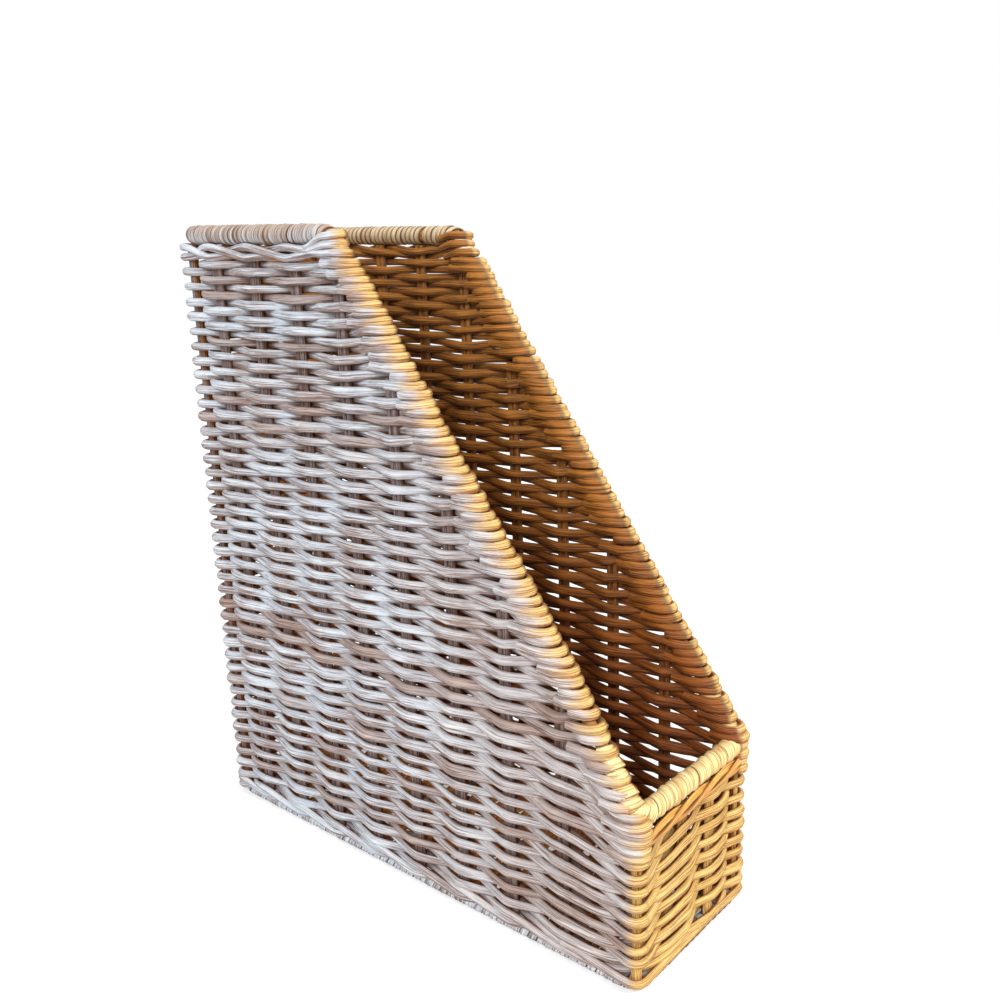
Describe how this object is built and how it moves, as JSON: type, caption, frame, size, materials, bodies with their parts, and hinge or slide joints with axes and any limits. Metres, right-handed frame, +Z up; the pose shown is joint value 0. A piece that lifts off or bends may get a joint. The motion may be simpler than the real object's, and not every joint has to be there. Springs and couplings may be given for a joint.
{
  "type": "magazine basket",
  "caption": "Narrow open woven rattan basket for magazines, with a low front, a tall back and sides that slope down from a bound rim.",
  "frame": {"origin": "middle of the rectangle that the basket stands on, on the floor", "axes": "+X across the width to the right side as seen from the low front, +Y along the depth to the tall back, +Z up"},
  "size_m": [0.09, 0.292, 0.32],
  "materials": {
    "weave": "whitewashed rattan core, matt, grey-white over brown",
    "wale": "whitewashed rattan, thicker twisted strands, matt",
    "stake": "bare rattan core, greyed tan",
    "rod": "bare rattan rod, tan",
    "cane_binding": "flat split cane, satin, warm yellow tan with a thin white wash",
    "base_weave": "unwashed rattan core, brown"
  },
  "bodies": {
    "root": {"left_weave": "weave", "right_weave": "weave", "front_weave": "weave", "back_weave": "weave", "foot_wale_left": "wale", "foot_wale_right": "wale", "foot_wale_front": "wale", "foot_wale_back": "wale", "top_wale_left": "wale", "top_wale_right": "wale", "front_wale": "wale", "left_stake_1": "stake", "left_stake_2": "stake", "left_stake_3": "stake", "left_stake_4": "stake", "left_stake_5": "stake", "left_stake_6": "stake", "left_stake_7": "stake", "left_stake_8": "stake", "right_stake_1": "stake", "right_stake_2": "stake", "right_stake_3": "stake", "right_stake_4": "stake", "right_stake_5": "stake", "right_stake_6": "stake", "right_stake_7": "stake", "right_stake_8": "stake", "front_stake_1": "stake", "front_stake_2": "stake", "back_stake_1": "stake", "back_stake_2": "stake", "corner_post_front_left": "stake", "corner_post_front_right": "stake", "corner_post_back_left": "stake", "corner_post_back_right": "stake", "rim_rod_left": "rod", "rim_rod_right": "rod", "rim_rod_front": "rod", "rim_rod_back": "rod", "rim_binding_left": "cane_binding", "rim_binding_right": "cane_binding", "rim_binding_front": "cane_binding", "rim_binding_back": "cane_binding", "slope_rod_left": "rod", "slope_wraps_left": "weave", "slope_binding_left": "cane_binding", "slope_rod_right": "rod", "slope_wraps_right": "weave", "slope_binding_right": "cane_binding", "foot_rod_left": "rod", "foot_rod_right": "rod", "foot_rod_front": "rod", "foot_rod_back": "rod", "base_weave": "base_weave", "base_stick_1": "rod", "base_stick_2": "rod", "base_stick_3": "rod"}
  },
  "joints": []
}
